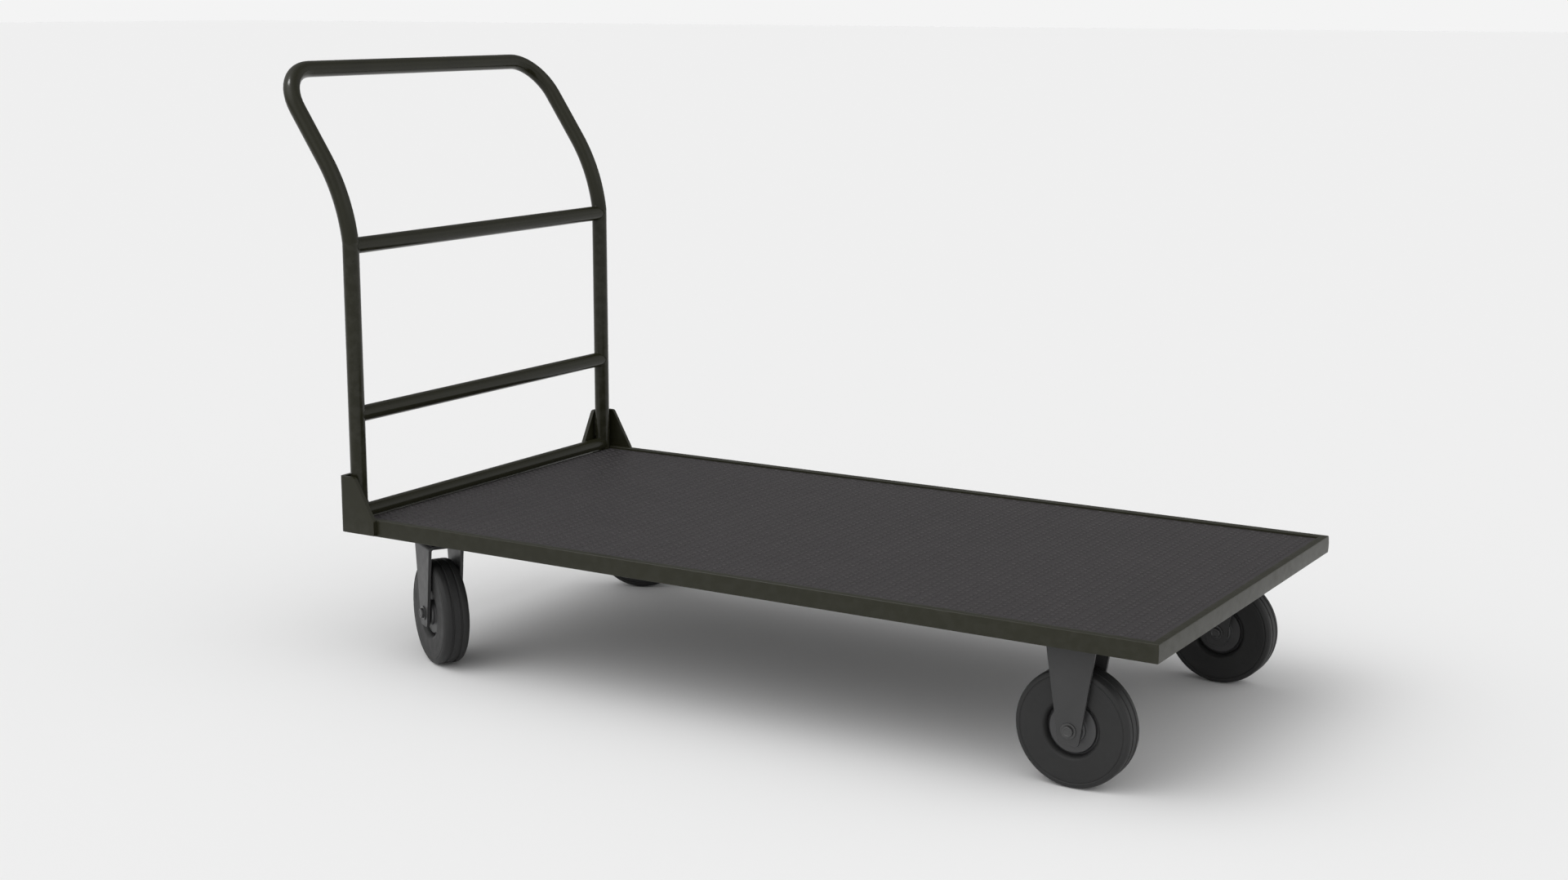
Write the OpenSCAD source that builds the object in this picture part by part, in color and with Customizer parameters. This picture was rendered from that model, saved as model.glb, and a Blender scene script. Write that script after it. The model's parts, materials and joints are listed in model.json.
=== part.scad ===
// Flatbed platform truck: steel deck on four casters with a fixed push bow at one end.
// Units are millimetres, +Z is up, +X points to the free end of the deck, Z = 0 is the floor.
// The origin is at the centre of the footprint of the whole truck.

/* [Output] */
// Piece to draw, or all of them

/* [Deck] */
// Length of the deck over its rim
deck_l = 1640; // [1500:10:1800]
// Width of the deck over its rim
deck_w = 828; // [800:4:900]
// Height of the rim top above the floor
deck_top = 281; // [279:1:290]
// Height of the rim section
rim_h = 32; // [30:1:34]
// Width of the rim section
rim_w = 15; // [14:1:18]
// Wall of the rim section
rim_t = 2; // [1.5:0.5:3]
// Depth of the tread sheet below the rim top
sheet_drop = 3.5; // [2.5:0.5:4]
// Thickness of the tread sheet
sheet_t = 3; // [2:0.5:3]

/* [Handle] */
// Outer diameter of the uprights and of the push bow
tube_d = 31; // [30:0.5:32]
// Outer diameter of the crossbars
bar_d = 30.6; // [29:0.2:30.6]
// Wall of all handle tubes
tube_t = 2.5; // [2:0.5:3]
// Height of the lower crossbar
bar_low_z = 474.5; // [420:0.5:560]
// Height of the upper crossbar
bar_up_z = 793; // [760:1:793]
// Height of the joint between upright and push bow
joint_z = 800; // [800:1:830]
// Bend radius of the backward lean of the bow
lean_r = 344; // [320:1:380]
// Lean of the bow at the joint
lean_start = 7; // [5:0.5:9]
// Lean of the bow at the grip
lean_end = 34.3; // [30:0.1:38]
// Length of the leaning part up to the grip
lean_l = 195; // [180:1:240]
// Bend radius of the two upper corners of the bow
corner_r = 85; // [70:1:110]

/* [Corner brackets] */
// Thickness of the bracket plate
br_t = 8; // [6:1:9]
// Width of one bracket wing at the foot
br_wing = 82; // [70:1:95]
// Width of one bracket wing at the top
br_top_w = 37; // [34:1:45]
// Height of the bracket top above the floor
br_top = 359.5; // [350:0.5:370]

/* [Casters] */
// Wheel diameter
wheel_d = 200; // [190:2:200]
// Width of the tyre
tyre_w = 50; // [46:1:50]
// Trail of the swivel casters
trail = 36; // [30:1:40]
// Rest angle of the near swivel caster
turn_near = -31.7; // [-60:0.1:60]
// Rest angle of the far swivel caster
turn_far = 25; // [-60:0.1:60]
// Distance of the fixed casters from the deck centre
fixed_x = 653; // [600:1:700]
// Distance of the fixed casters from the centre line
fixed_y = 331.5; // [310:0.5:332]
// Distance of the swivel axes from the deck centre
swivel_x = 690; // [660:1:700]
// Distance of the swivel axes from the centre line
swivel_y = 318; // [300:1:330]

/* [Hidden] */
$fn = 64;
tube_r = tube_d / 2;
bar_r = bar_d / 2;
rail_z = deck_top - rim_h;
rail_start = -deck_l / 2 + 31;
sheet_z = deck_top - sheet_drop - sheet_t;
in_w = deck_w / 2 - rim_w;
up_x = -deck_l / 2 + tube_r + 0.2;
up_y = deck_w / 2 - 21.2;
base_z = deck_top + 4.4;
sill_top = base_z - bar_r;
// bow: centre of the lean bend, end of the bend, grip axis
lean_cx = up_x - lean_r * cos(lean_start);
lean_cz = joint_z - lean_r * sin(lean_start);
bend_x = lean_cx + lean_r * cos(lean_end);
bend_z = lean_cz + lean_r * sin(lean_end);
grip_x = bend_x - lean_l * sin(lean_end);
grip_z = bend_z + lean_l * cos(lean_end);
// shift of the deck centre, so that the origin is the centre of the footprint
deck_x = -(grip_x - tube_r + deck_l / 2) / 2;
// caster stack
wheel_r = wheel_d / 2;
plate_z = 255;
plate_t = 5;
bearer_z = plate_z + plate_t;
bearer_t = 4;
bolt_u = 55;
bolt_v = 45;
leg_in = 28.5;
leg_t = 6;
leg_out = leg_in + leg_t;
leg_foot = 75;
crown_z = 231;
crown_t = 6;

// ---------- places ----------
module deck_place() {
    translate([deck_x, 0, 0])
        children();
}

// fixed caster frame: side is -1 for near, 1 for far
module fixed_place(side) {
    translate([deck_x + fixed_x, side * fixed_y, 0])
        children();
}

// swivel caster frame: origin on the swivel axis, wheel centre at +trail
module swivel_place(side, turn) {
    translate([deck_x - swivel_x, side * swivel_y, 0])
        rotate([0, 0, turn])
            children();
}

// ---------- deck ----------
module rail_section(wall) {
    w = rim_w - 2 * wall;
    h = rim_h - 2 * wall;
    r = wall > 0 ? 1 : 2;
    translate([wall, wall + r])
        square([w, h - 2 * r]);
    translate([wall + r, wall])
        square([w - 2 * r, h]);
    for (x = [wall + r, wall + w - r], y = [wall + r, wall + h - r])
        translate([x, y])
            circle(r);
}

module rail_bar(length) {
    difference() {
        linear_extrude(length)
            rail_section(0);
        translate([0, 0, -1])
            linear_extrude(length + 2)
                rail_section(rim_t);
    }
}

module long_rail() {
    color([0.21, 0.21, 0.17])
        difference() {
            translate([rail_start, -deck_w / 2, rail_z])
                rotate([90, 0, 90])
                    rail_bar(deck_l / 2 - rail_start);
            translate([deck_l / 2, -deck_w / 2, rail_z - 5])
                rotate([0, 0, 45])
                    cube([80, 160, rim_h + 10]);
        }
}

module rail_near() {
    deck_place()
        long_rail();
}

module rail_far() {
    deck_place()
        mirror([0, 1, 0])
            long_rail();
}

module rail_end() {
    color([0.21, 0.21, 0.17])
        deck_place()
            difference() {
                translate([deck_l / 2, -deck_w / 2, rail_z])
                    rotate([90, 0, 180])
                        rail_bar(deck_w);
                for (s = [-1, 1])
                    translate([deck_l / 2, s * deck_w / 2, rail_z - 5])
                        rotate([0, 0, 135])
                            cube([80, 80, rim_h + 10]);
            }
}

module sill_handle() {
    color([0.21, 0.21, 0.17])
        deck_place()
            translate([-deck_l / 2, 0, 0]) {
                translate([0, -up_y + 20, rail_z])
                    cube([3, 2 * up_y - 40, sill_top - rail_z]);
                translate([3, -up_y + 20, sill_top - 3])
                    cube([24, 2 * up_y - 40, 3]);
            }
}

module deck_sheet() {
    color([0.27, 0.26, 0.28])
        deck_place()
            translate([rail_start + 0.6, -in_w, sheet_z])
                cube([deck_l / 2 - rim_w - rail_start - 0.6, 2 * in_w, sheet_t]);
}

module channel_down(width) {
    depth = sheet_z - rail_z - 0.5;
    translate([-width / 2, -in_w, sheet_z - 3])
        cube([width, 2 * in_w, 3]);
    for (x = [-width / 2, width / 2 - 3])
        translate([x, -in_w, sheet_z - depth])
            cube([3, 2 * in_w, depth]);
}

module cross_members() {
    color([0.21, 0.21, 0.17])
        deck_place() {
            for (x = [-460, -230, 0, 230, 460])
                translate([x, 0, 0])
                    channel_down(40);
            translate([deck_l / 2 - rim_w - 21, 0, 0])
                channel_down(40);
        }
}

module bearer() {
    depth = sheet_z - bearer_z;
    difference() {
        union() {
            translate([-75, -in_w, bearer_z])
                cube([150, 2 * in_w, bearer_t]);
            for (x = [-75, 75 - bearer_t])
                translate([x, -in_w, bearer_z])
                    cube([bearer_t, 2 * in_w, depth]);
        }
        children();
    }
}

module bolt_holes(y0, z, height, r) {
    for (s = [-1, 1], u = [-bolt_u, bolt_u], v = [-bolt_v, bolt_v])
        translate([u, s * y0 + v, z])
            cylinder(h = height, r = r);
}

module bearer_handle() {
    color([0.21, 0.21, 0.17])
        deck_place()
            translate([-swivel_x, 0, 0])
                bearer()
                    bolt_holes(swivel_y, bearer_z - 1, bearer_t + 2, 5.5);
}

module bearer_end() {
    color([0.21, 0.21, 0.17])
        deck_place()
            translate([fixed_x, 0, 0])
                bearer()
                    bolt_holes(fixed_y, bearer_z - 1, bearer_t + 2, 5.5);
}

// ---------- corner brackets ----------
module wing_plate() {
    linear_extrude(br_t)
        polygon([[0, rail_z + 3], [br_wing, rail_z + 3], [br_wing, deck_top - 1.5],
            [br_top_w, br_top], [0, br_top]]);
}

module corner_bracket() {
    translate([-deck_l / 2 - br_t, -deck_w / 2, 0])
        rotate([90, 0, 0])
            wing_plate();
    translate([-deck_l / 2 - br_t, -deck_w / 2 - br_t, 0])
        rotate([90, 0, 90])
            wing_plate();
}

module bracket_near() {
    color([0.22, 0.22, 0.18])
        deck_place()
            corner_bracket();
}

module bracket_far() {
    color([0.22, 0.22, 0.18])
        deck_place()
            mirror([0, 1, 0])
                corner_bracket();
}

module corner_feet() {
    color([0.21, 0.21, 0.17])
        deck_place()
            for (s = [-1, 1])
                translate([-deck_l / 2, s > 0 ? up_y - 20 : -deck_w / 2, rail_z])
                    cube([31, deck_w / 2 - up_y + 20, sill_top - rail_z]);
}

// ---------- handle ----------
module upright(side) {
    color([0.24, 0.23, 0.2])
        deck_place()
            translate([up_x, side * up_y, sill_top])
                difference() {
                    cylinder(h = joint_z - sill_top, r = tube_r);
                    translate([0, 0, -1])
                        cylinder(h = joint_z - sill_top + 2, r = tube_r - tube_t);
                }
}

module upright_near() {
    upright(-1);
}

module upright_far() {
    upright(1);
}

module crossbar(z) {
    color([0.24, 0.23, 0.2])
        deck_place()
            difference() {
                translate([up_x, -up_y, z])
                    rotate([-90, 0, 0])
                        cylinder(h = 2 * up_y, r = bar_r);
                translate([up_x, -up_y - 1, z])
                    rotate([-90, 0, 0])
                        cylinder(h = 2 * up_y + 2, r = bar_r - tube_t);
                for (s = [-1, 1]) {
                    translate([up_x, s * up_y, z - 40])
                        cylinder(h = 80, r = tube_r + 0.1);
                    translate([up_x, s * up_y, joint_z])
                        rotate([0, -lean_start - 1, 0])
                            cylinder(h = 40, r = tube_r + 0.2);
                }
            }
}

module crossbar_base() {
    crossbar(base_z);
}

module crossbar_lower() {
    crossbar(bar_low_z);
}

module crossbar_upper() {
    crossbar(bar_up_z);
}

// whole path of the bow as a solid rod of radius r, drawn from the end of the lean bend
module bow_rod(r) {
    translate([bend_x, 0, bend_z])
        rotate([0, -lean_end, 0]) {
            for (s = [-1, 1]) {
                translate([-lean_r, s * up_y, 0])
                    rotate([-90, 0, 0])
                        rotate_extrude(angle = lean_end - lean_start + 3)
                            translate([lean_r, 0])
                                circle(r);
                translate([0, s * up_y, 0])
                    cylinder(h = lean_l - corner_r, r = r);
                translate([0, s * (up_y - corner_r), lean_l - corner_r])
                    rotate([90, 0, 90])
                        rotate([0, 0, s > 0 ? 0 : 90])
                            rotate_extrude(angle = 90)
                                translate([corner_r, 0])
                                    circle(r);
            }
            translate([0, -up_y + corner_r, lean_l])
                rotate([-90, 0, 0])
                    cylinder(h = 2 * (up_y - corner_r), r = r);
        }
}

module push_bow() {
    color([0.24, 0.23, 0.2])
        deck_place()
            difference() {
                bow_rod(tube_r);
                bow_rod(tube_r - tube_t);
                translate([up_x - 60, -up_y - 60, joint_z - 60])
                    cube([120, 2 * up_y + 120, 60]);
            }
}

// fillets between the uprights and the end wings of the brackets
module upright_welds() {
    color([0.24, 0.23, 0.2])
        deck_place()
            for (s = [-1, 1])
                difference() {
                    translate([-deck_l / 2, s * up_y - 10, base_z + bar_r + 1.3])
                        cube([4.5, 20, br_top - 9.5 - base_z - bar_r - 1.3]);
                    translate([up_x, s * up_y, 280])
                        cylinder(h = 90, r = tube_r + 0.02);
                }
}

// ---------- caster fasteners ----------
module all_bolt_places() {
    for (s = [-1, 1], u = [-bolt_u, bolt_u], v = [-bolt_v, bolt_v]) {
        translate([deck_x + fixed_x + u, s * fixed_y + v, 0])
            children();
        translate([deck_x - swivel_x + u, s * swivel_y + v, 0])
            children();
    }
}

module caster_bolts() {
    color([0.5, 0.5, 0.5])
        all_bolt_places() {
            translate([0, 0, plate_z - 6.4])
                cylinder(h = 6.4, r = 9.8, $fn = 6);
            translate([0, 0, plate_z - 0.5])
                cylinder(h = sheet_z - plate_z - 0.3, r = 5);
        }
}

module caster_nuts() {
    color([0.5, 0.5, 0.5])
        all_bolt_places()
            translate([0, 0, bearer_z + bearer_t])
                difference() {
                    cylinder(h = 8, r = 9.8, $fn = 6);
                    translate([0, 0, -1])
                        cylinder(h = 10, r = 5);
                }
}

module top_plate() {
    difference() {
        translate([-70, -60, plate_z])
            cube([140, 120, plate_t]);
        for (u = [-bolt_u, bolt_u], v = [-bolt_v, bolt_v])
            translate([u, v, plate_z - 1])
                cylinder(h = plate_t + 2, r = 5.5);
        children();
    }
}

// ---------- swivel head ----------
module swivel_plate(side) {
    color([0.4, 0.4, 0.4])
        translate([deck_x - swivel_x, side * swivel_y, 0]) {
            top_plate()
                translate([0, 0, plate_z - 1])
                    cylinder(h = plate_t + 2, r = 8);
            difference() {
                translate([0, 0, 242])
                    cylinder(h = plate_z - 242, r = 41);
                translate([0, 0, 241])
                    cylinder(h = 7.6, r = 38);
                translate([0, 0, 241])
                    cylinder(h = plate_z - 240, r = 22);
            }
        }
}

module swivel_plate_near() {
    swivel_plate(-1);
}

module swivel_plate_far() {
    swivel_plate(1);
}

module kingpin(side) {
    color([0.5, 0.5, 0.5])
        translate([deck_x - swivel_x, side * swivel_y, 0]) {
            translate([0, 0, 220])
                cylinder(h = plate_z + plate_t - 220, r = 8);
            translate([0, 0, 222])
                cylinder(h = 8.7, r = 13.5, $fn = 6);
        }
}

module kingpin_near() {
    kingpin(-1);
}

module kingpin_far() {
    kingpin(1);
}

module swivel_balls(side, turn) {
    color([0.6, 0.6, 0.6])
        swivel_place(side, turn)
            for (i = [0 : 19])
                rotate([0, 0, i * 18])
                    translate([30, 0, 244.8])
                        sphere(3.5);
}

module swivel_balls_near() {
    swivel_balls(-1, turn_near);
}

module swivel_balls_far() {
    swivel_balls(1, turn_far);
}

// ---------- forks ----------
function leg_half(z) = 17.5 + (z - leg_foot) * 0.155;

module leg(x, top) {
    for (s = [-1, 1])
        difference() {
            translate([x, s > 0 ? leg_out : -leg_in, 0])
                rotate([90, 0, 0])
                    linear_extrude(leg_t)
                        polygon([[-14, leg_foot], [14, leg_foot], [17.5, leg_foot + 4],
                            [leg_half(top), top], [-leg_half(top), top], [-17.5, leg_foot + 4]]);
            translate([x, 0, wheel_r])
                rotate([90, 0, 0])
                    cylinder(h = 100, r = 6.2, center = true);
        }
}

module fixed_fork(side) {
    half = leg_half(plate_z);
    color([0.42, 0.42, 0.42])
        fixed_place(side) {
            leg(0, plate_z);
            translate([-half, -leg_in, plate_z - crown_t])
                cube([2 * half, 2 * leg_in, crown_t]);
        }
}

module fixed_fork_near() {
    fixed_fork(-1);
}

module fixed_fork_far() {
    fixed_fork(1);
}

module fixed_plate(side) {
    color([0.4, 0.4, 0.4])
        fixed_place(side)
            top_plate();
}

module fixed_plate_near() {
    fixed_plate(-1);
}

module fixed_plate_far() {
    fixed_plate(1);
}

module swivel_fork(side, turn) {
    top = crown_z + crown_t;
    half = leg_half(top);
    color([0.42, 0.42, 0.42])
        swivel_place(side, turn) {
            leg(trail, top);
            difference() {
                union() {
                    translate([0, -leg_in, crown_z])
                        cube([trail + half, 2 * leg_in, crown_t]);
                    translate([0, 0, crown_z])
                        cylinder(h = crown_t, r = 39);
                    translate([0, 0, top])
                        cylinder(h = 4, r = 36.5);
                }
                for (s = [-1, 1])
                    translate([trail - half, s > 0 ? leg_out : -leg_out - 30, crown_z - 1])
                        cube([120, 30, crown_t + 2]);
                translate([0, 0, crown_z - 1])
                    cylinder(h = crown_t + 6, r = 8.08);
                translate([0, 0, top])
                    cylinder(h = 5, r = 23.5);
            }
        }
}

module swivel_fork_near() {
    swivel_fork(-1, turn_near);
}

module swivel_fork_far() {
    swivel_fork(1, turn_far);
}

// ---------- axle, wheel: all drawn about the Y axis at the wheel centre ----------
module axle() {
    color([0.45, 0.45, 0.45])
        translate([0, 0, wheel_r]) {
            translate([0, -leg_out - 2, 0])
                rotate([-90, 0, 0])
                    cylinder(h = 2 * leg_out + 15, r = 6);
            translate([0, -leg_out - 7, 0])
                rotate([-90, 0, 0])
                    cylinder(h = 5, r = 9.5);
        }
}

module axle_nut() {
    color([0.45, 0.45, 0.45])
        translate([0, leg_out + 2, wheel_r])
            rotate([-90, 0, 0])
                difference() {
                    cylinder(h = 9, r = 10.4, $fn = 6);
                    translate([0, 0, -1])
                        cylinder(h = 11, r = 6);
                }
}

module ring(y0, y1, r0, r1) {
    translate([0, y0, wheel_r])
        rotate([-90, 0, 0])
            difference() {
                cylinder(h = y1 - y0, r = r1);
                translate([0, 0, -1])
                    cylinder(h = y1 - y0 + 2, r = r0);
            }
}

// outer washers and inner spacer sleeves
module axle_rings() {
    color([0.5, 0.5, 0.5]) {
        ring(-leg_out - 2, -leg_out, 6, 13.5);
        ring(leg_out, leg_out + 2, 6, 13.5);
        ring(-leg_in, -26, 6, 10);
        ring(26, leg_in, 6, 10);
    }
}

module bearings() {
    color([0.55, 0.55, 0.55]) {
        ring(-25.6, -13.6, 6.08, 16);
        ring(13.6, 25.6, 6.08, 16);
    }
}

module hub() {
    color([0.3, 0.3, 0.31])
        translate([0, 0, wheel_r])
            rotate([-90, 0, 0])
                rotate_extrude()
                    polygon([[16, -25.5], [22, -25.5], [24, -23.5], [24, -15], [38, -15],
                        [42, -23], [45, -23], [45, 23], [42, 23], [38, 15], [24, 15],
                        [24, 23.5], [22, 25.5], [16, 25.5], [16, 13.6], [8, 13.6],
                        [8, -13.6], [16, -13.6]]);
}

module tyre() {
    w = tyre_w / 2;
    r = wheel_r;
    color([0.14, 0.14, 0.14])
        translate([0, 0, wheel_r])
            rotate([-90, 0, 0])
                rotate_extrude()
                    polygon([[45, -w + 2], [47, -w], [89, -w], [90, -w + 1.2], [91.3, -w],
                        [r - 7, -w], [r - 2.5, -w + 2.5], [r - 0.5, -w + 6.5], [r, -w + 11],
                        [r, -w + 15], [r - 2.2, -w + 16], [r - 2.2, -w + 18], [r, -w + 19],
                        [r, w - 19], [r - 2.2, w - 18], [r - 2.2, w - 16], [r, w - 15],
                        [r, w - 11], [r - 0.5, w - 6.5], [r - 2.5, w - 2.5], [r - 7, w],
                        [91.3, w], [90, w - 1.2], [89, w], [47, w], [45, w - 2]]);
}

module at_fn() {
    fixed_place(-1)
        children();
}

module at_ff() {
    fixed_place(1)
        children();
}

module at_sn() {
    swivel_place(-1, turn_near)
        translate([trail, 0, 0])
            children();
}

module at_sf() {
    swivel_place(1, turn_far)
        translate([trail, 0, 0])
            children();
}

module axle_fn() {
    at_fn()
        axle();
}

module axle_ff() {
    at_ff()
        axle();
}

module axle_sn() {
    at_sn()
        axle();
}

module axle_sf() {
    at_sf()
        axle();
}

module nut_fn() {
    at_fn()
        axle_nut();
}

module nut_ff() {
    at_ff()
        axle_nut();
}

module nut_sn() {
    at_sn()
        axle_nut();
}

module nut_sf() {
    at_sf()
        axle_nut();
}

module rings_fn() {
    at_fn()
        axle_rings();
}

module rings_ff() {
    at_ff()
        axle_rings();
}

module rings_sn() {
    at_sn()
        axle_rings();
}

module rings_sf() {
    at_sf()
        axle_rings();
}

module hub_fn() {
    at_fn()
        hub();
}

module hub_ff() {
    at_ff()
        hub();
}

module hub_sn() {
    at_sn()
        hub();
}

module hub_sf() {
    at_sf()
        hub();
}

module bearings_fn() {
    at_fn()
        bearings();
}

module bearings_ff() {
    at_ff()
        bearings();
}

module bearings_sn() {
    at_sn()
        bearings();
}

module bearings_sf() {
    at_sf()
        bearings();
}

module tyre_fn() {
    at_fn()
        tyre();
}

module tyre_ff() {
    at_ff()
        tyre();
}

module tyre_sn() {
    at_sn()
        tyre();
}

module tyre_sf() {
    at_sf()
        tyre();
}

// ---------- drawing ----------
rail_near();
rail_far();
rail_end();
sill_handle();
deck_sheet();
cross_members();
bearer_handle();
bearer_end();
bracket_near();
bracket_far();
corner_feet();
upright_near();
upright_far();
crossbar_base();
crossbar_lower();
crossbar_upper();
push_bow();
upright_welds();
caster_bolts();
caster_nuts();
swivel_plate_near();
swivel_plate_far();
kingpin_near();
kingpin_far();
fixed_plate_near();
fixed_plate_far();
fixed_fork_near();
fixed_fork_far();
swivel_fork_near();
swivel_fork_far();
swivel_balls_near();
swivel_balls_far();
axle_fn();
axle_ff();
axle_sn();
axle_sf();
nut_fn();
nut_ff();
nut_sn();
nut_sf();
rings_fn();
rings_ff();
rings_sn();
rings_sf();
hub_fn();
hub_ff();
hub_sn();
hub_sf();
bearings_fn();
bearings_ff();
bearings_sn();
bearings_sf();
tyre_fn();
tyre_ff();
tyre_sn();
tyre_sf();
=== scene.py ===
"""Looks of the flatbed platform truck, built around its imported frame.

Shapes are in millimetres until build() makes them.
"""

import json
import math

import bmesh
import bpy
from mathutils import Matrix, Vector


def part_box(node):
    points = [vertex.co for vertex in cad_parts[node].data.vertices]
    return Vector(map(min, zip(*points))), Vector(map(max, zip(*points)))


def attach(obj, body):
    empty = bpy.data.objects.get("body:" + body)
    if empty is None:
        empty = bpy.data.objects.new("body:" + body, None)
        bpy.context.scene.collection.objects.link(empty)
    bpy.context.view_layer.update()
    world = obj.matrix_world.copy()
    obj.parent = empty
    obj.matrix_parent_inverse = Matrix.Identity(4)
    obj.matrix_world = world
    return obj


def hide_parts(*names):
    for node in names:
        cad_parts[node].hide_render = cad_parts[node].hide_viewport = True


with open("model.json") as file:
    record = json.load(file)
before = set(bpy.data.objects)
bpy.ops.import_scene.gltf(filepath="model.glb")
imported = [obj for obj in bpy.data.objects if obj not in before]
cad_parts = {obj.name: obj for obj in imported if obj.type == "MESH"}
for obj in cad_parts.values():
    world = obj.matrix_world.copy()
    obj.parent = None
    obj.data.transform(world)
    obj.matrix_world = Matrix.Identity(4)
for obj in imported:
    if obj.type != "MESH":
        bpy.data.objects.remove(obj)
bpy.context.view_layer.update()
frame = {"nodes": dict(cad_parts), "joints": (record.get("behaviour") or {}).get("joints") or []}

MM = 0.001
Y, Z = Vector((0, 1, 0)), Vector((0, 0, 1))


# ---------- what the frame says ----------
def box_mm(node):
    low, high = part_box(node)
    return low / MM, high / MM


END_X = box_mm("rail_end")[1].x
HALF_W = -box_mm("rail_near")[0].y
DECK_TOP = box_mm("rail_near")[1].z
RIM_BOTTOM = box_mm("rail_near")[0].z
RIM_START = box_mm("rail_near")[0].x
HANDLE_X = box_mm("corner_feet")[0].x
SHEET_LO, SHEET_HI = box_mm("deck_sheet")
UP_LO, UP_HI = box_mm("upright_near")
BRACKET_LO, BRACKET_HI = box_mm("bracket_near")
UP_X = (UP_LO.x + UP_HI.x) / 2
UP_Y = -(UP_LO.y + UP_HI.y) / 2
TUBE_R = (UP_HI.x - UP_LO.x) / 2
SILL_TOP = UP_LO.z
JOINT_Z = UP_HI.z
DECK_HALF_L = 820
DECK_X = END_X - DECK_HALF_L
JOINTS = {j["name"]: j for j in frame["joints"]}


# ---------- outlines and shells ----------
BEVEL_SEGMENTS = 3


def turned(angle, axis="Z"):
    return Matrix.Rotation(angle, 4, axis)


def at(x, y, z):
    return Matrix.Translation((x, y, z))


def frame_of(origin, x_axis, y_axis):
    """Matrix with its columns along x_axis, y_axis and their cross product."""
    z_axis = x_axis.cross(y_axis)
    m = Matrix((x_axis, y_axis, z_axis)).transposed().to_4x4()
    m.translation = origin
    return m


def rounded(points, radius, steps=3, closed=True):
    """A 2D outline with its corners rounded. radius is one number, or one for each corner."""
    radii = [radius] * len(points) if isinstance(radius, (int, float)) else radius
    out = []
    for i, p in enumerate(points):
        p = Vector(p)
        ends = not closed and i in (0, len(points) - 1)
        if radii[i] <= 0 or ends:
            out.append(p)
            continue
        a = Vector(points[i - 1]) - p
        b = Vector(points[(i + 1) % len(points)]) - p
        half = a.angle(b) / 2
        reach = min(radii[i] / math.tan(half), 0.49 * a.length, 0.49 * b.length)
        start, end = p + a.normalized() * reach, p + b.normalized() * reach
        for k in range(steps + 1):
            t = k / steps
            out.append(start * (1 - t) ** 2 + p * 2 * t * (1 - t) + end * t**2)
    return out


class Shape:
    """Vertices and faces of one piece, in millimetres."""

    def __init__(self):
        self.verts, self.faces = [], []

    def add(self, verts, faces, place=None):
        first = len(self.verts)
        self.verts += [place @ Vector(v) if place else Vector(v) for v in verts]
        self.faces += [tuple(i + first for i in f) for f in faces]
        return self

    def skin(self, rings, closed=False, caps=True, place=None):
        """Faces between rings of equal length."""
        n, m = len(rings[0]), len(rings)
        faces = []
        for i in range(m if closed else m - 1):
            k = (i + 1) % m
            for j in range(n):
                j2 = (j + 1) % n
                faces.append((i * n + j, i * n + j2, k * n + j2, k * n + j))
        if caps and not closed:
            faces.append(tuple(reversed(range(n))))
            faces.append(tuple(range((m - 1) * n, m * n)))
        return self.add([v for ring in rings for v in ring], faces, place)

    def prism(self, outline, depth, place=None):
        rings = [[(p[0], p[1], z) for p in outline] for z in (0, depth)]
        return self.skin(rings, place=place)

    def lathe(self, profile, place=None, n=64, closed=True):
        """Turns a profile of (radius, height) about the local Z axis."""
        rings = []
        for r, h in profile:
            rings.append([(r * math.cos(k * math.tau / n), r * math.sin(k * math.tau / n), h)
                          for k in range(n)])
        return self.skin(rings, closed=closed, caps=not closed, place=place)

    def sweep(self, path, radius, n, closed=False, centre=None, flat_start=None):
        """A round rod along path. radius is a number or one for each point."""
        pts = [Vector(p) for p in path]
        m = len(pts)
        rings, u, last = [], None, None
        for i, p in enumerate(pts):
            before = pts[i - 1] if closed or i else p
            after = pts[(i + 1) % m] if closed or i < m - 1 else p
            t = (after - before).normalized()
            if centre is not None:
                u = p - Vector(centre)
            elif u is None:
                u = t.orthogonal()
            else:
                u = last.rotation_difference(t) @ u
            u = (u - t * u.dot(t)).normalized()
            v, last = t.cross(u), t
            r = radius if isinstance(radius, (int, float)) else radius[i]
            ring = []
            for k in range(n):
                a = k * math.tau / n
                q = p + (u * math.cos(a) + v * math.sin(a)) * r
                if flat_start is not None and i in (0, m - 1):
                    q += t * ((flat_start - q.z) / t.z)
                ring.append(q)
            rings.append(ring)
        return self.skin(rings, closed=closed)


def build(shape, name, body, slot, nodes, bevel=0.0, angle=32, weld=True):
    """Makes the object, in metres, riding on its body and standing for its CAD nodes."""
    mesh = bpy.data.meshes.new(name)
    mesh.from_pydata([v * MM for v in shape.verts], [], shape.faces)
    bm = bmesh.new()
    bm.from_mesh(mesh)
    if weld:
        bmesh.ops.remove_doubles(bm, verts=bm.verts, dist=1e-6)
    bmesh.ops.recalc_face_normals(bm, faces=bm.faces)
    for f in bm.faces:
        f.smooth = True
    bm.to_mesh(mesh)
    bm.free()
    mesh.set_sharp_from_angle(angle=math.radians(angle))
    obj = bpy.data.objects.new(name, mesh)
    bpy.context.scene.collection.objects.link(obj)
    mesh.materials.append(FINISHES[slot])
    if bevel:
        mod = obj.modifiers.new("edges", "BEVEL")
        mod.width = bevel * MM
        mod.segments = BEVEL_SEGMENTS
        mod.limit_method = "ANGLE"
        mod.angle_limit = math.radians(angle)
        mod.use_clamp_overlap = True
        mod.harden_normals = True
    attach(obj, body)
    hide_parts(*nodes)


# ---------- finishes ----------
def node(tree, kind, inputs=None, **props):
    n = tree.nodes.new(kind)
    for k, v in props.items():
        setattr(n, k, v)
    for k, v in (inputs or {}).items():
        if isinstance(v, bpy.types.NodeSocket):
            tree.links.new(v, n.inputs[k])
        else:
            n.inputs[k].default_value = v
    return n


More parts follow.
